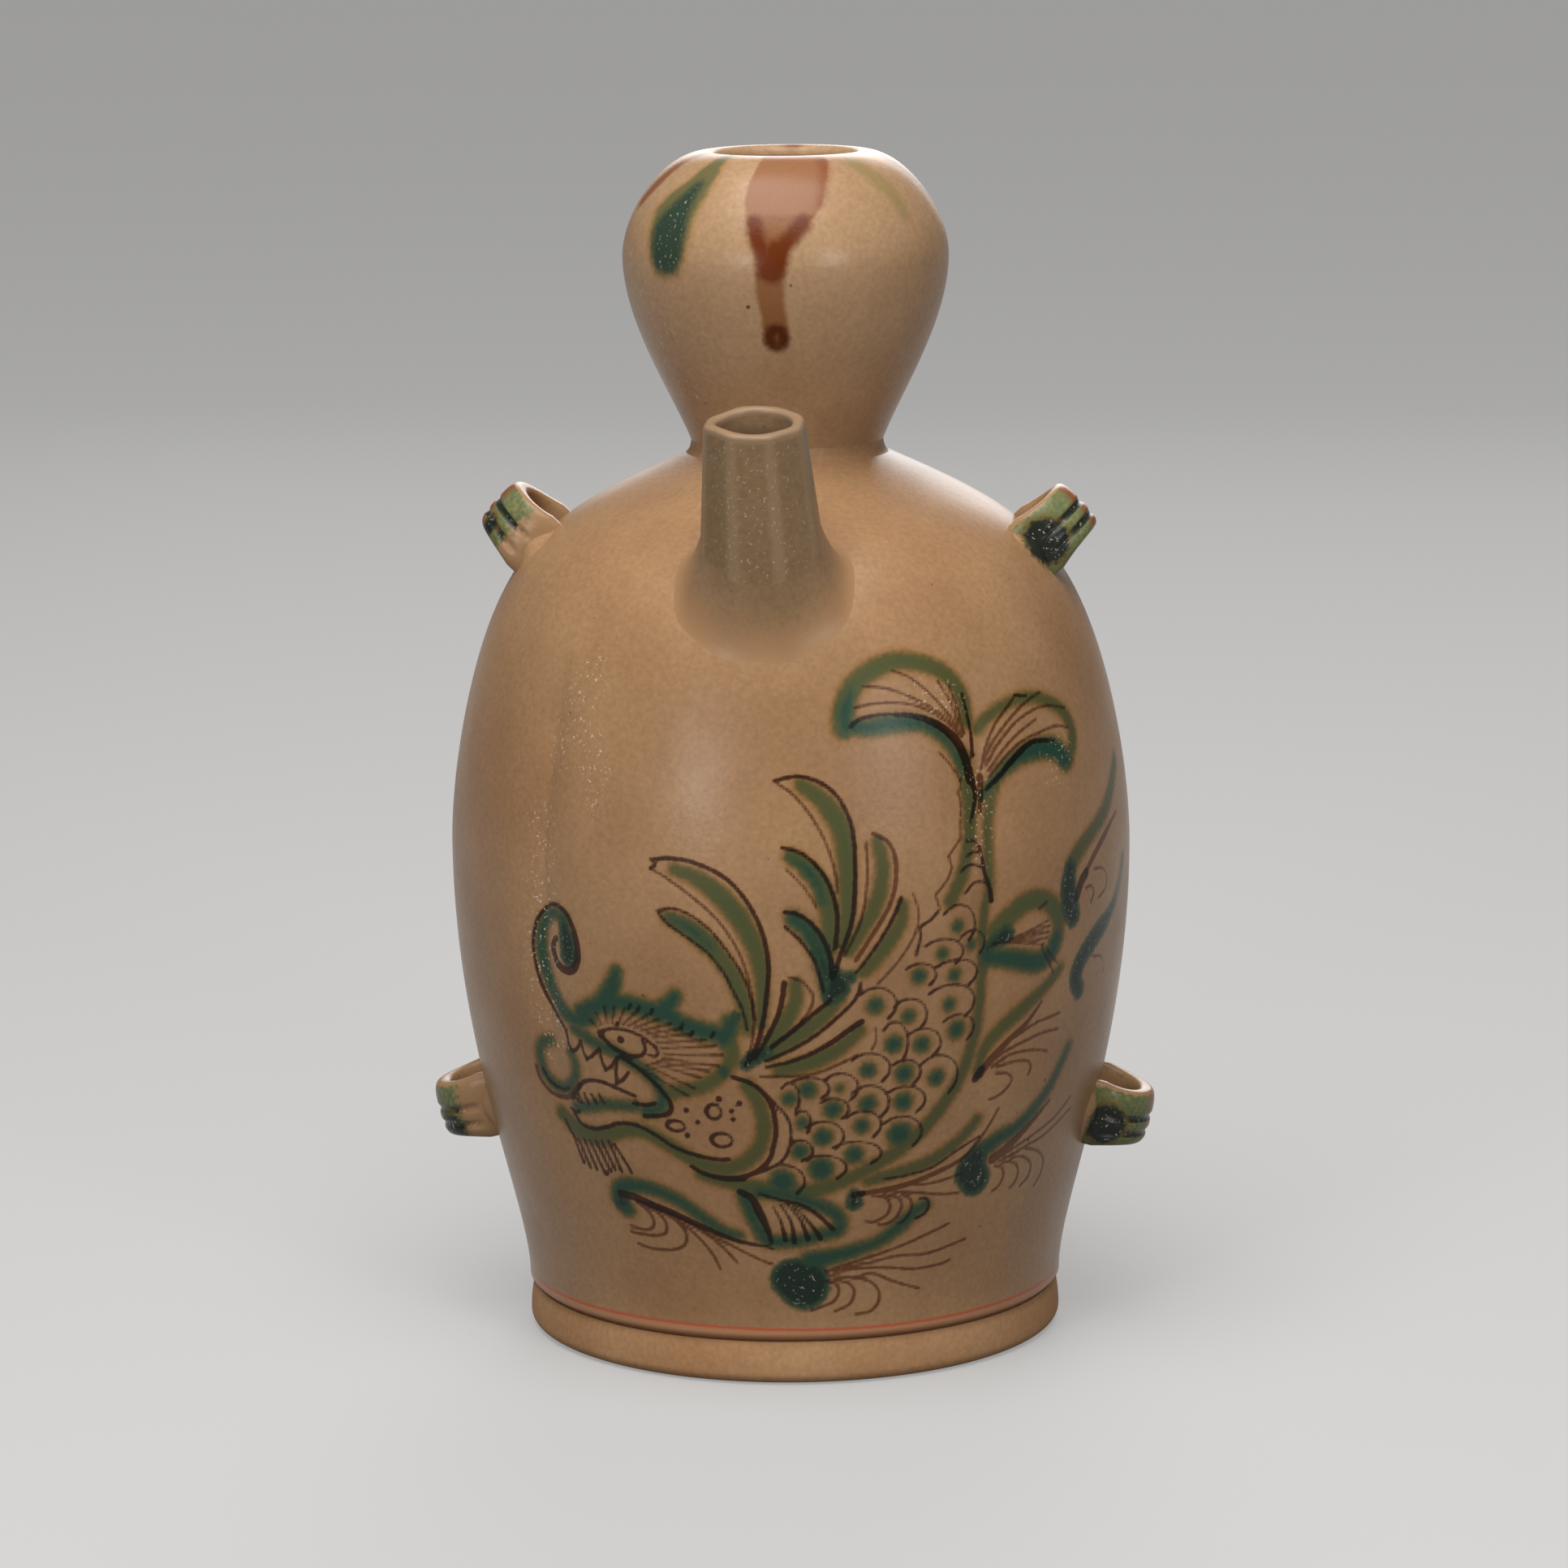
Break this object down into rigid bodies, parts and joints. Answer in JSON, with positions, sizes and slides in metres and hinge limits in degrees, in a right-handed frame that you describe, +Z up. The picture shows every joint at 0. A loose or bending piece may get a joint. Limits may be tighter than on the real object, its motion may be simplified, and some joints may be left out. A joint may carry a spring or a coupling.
{
  "type": "ewer",
  "caption": "Stoneware ewer with a lobed egg-shaped body on a turned foot, a bulb-shaped head, a faceted spout and strap lugs for a carrying cord, glazed buff with a painted dragon-fish.",
  "frame": {"origin": "centre of the foot's standing face, on the vessel's axis", "axes": "+Z up the vessel's axis, -Y to the spout, lugs at -X and +X"},
  "size_m": [0.1352, 0.1266, 0.22],
  "materials": {
    "body_glaze": "thin buff ash glaze over stoneware, satin, with painted brown lines and green washes",
    "head_glaze": "thin buff ash glaze, satin, with green and brown splashes run down from the lip",
    "spout_glaze": "greyer buff glaze over knife-pared facets",
    "lug_glaze": "green and amber splashed glaze, darker where it pools",
    "bare_clay": "unglazed fired clay, matt, turned",
    "luting_clay": "joining clay under the same thin buff glaze"
  },
  "bodies": {
    "root": {"body_shell": "body_glaze", "foot_luting_seam": "luting_clay", "foot_ring": "bare_clay", "garlic_head": "head_glaze", "lug_lower_left": "lug_glaze", "lug_lower_right": "lug_glaze", "lug_pad_lower_left_front": "luting_clay", "lug_pad_lower_left_rear": "luting_clay", "lug_pad_lower_right_front": "luting_clay", "lug_pad_lower_right_rear": "luting_clay", "lug_pad_upper_left_front": "luting_clay", "lug_pad_upper_left_rear": "luting_clay", "lug_pad_upper_right_front": "luting_clay", "lug_pad_upper_right_rear": "luting_clay", "lug_upper_left": "lug_glaze", "lug_upper_right": "lug_glaze", "neck_luting_seam": "luting_clay", "spout": "spout_glaze", "spout_luting_coil": "luting_clay"}
  },
  "joints": []
}
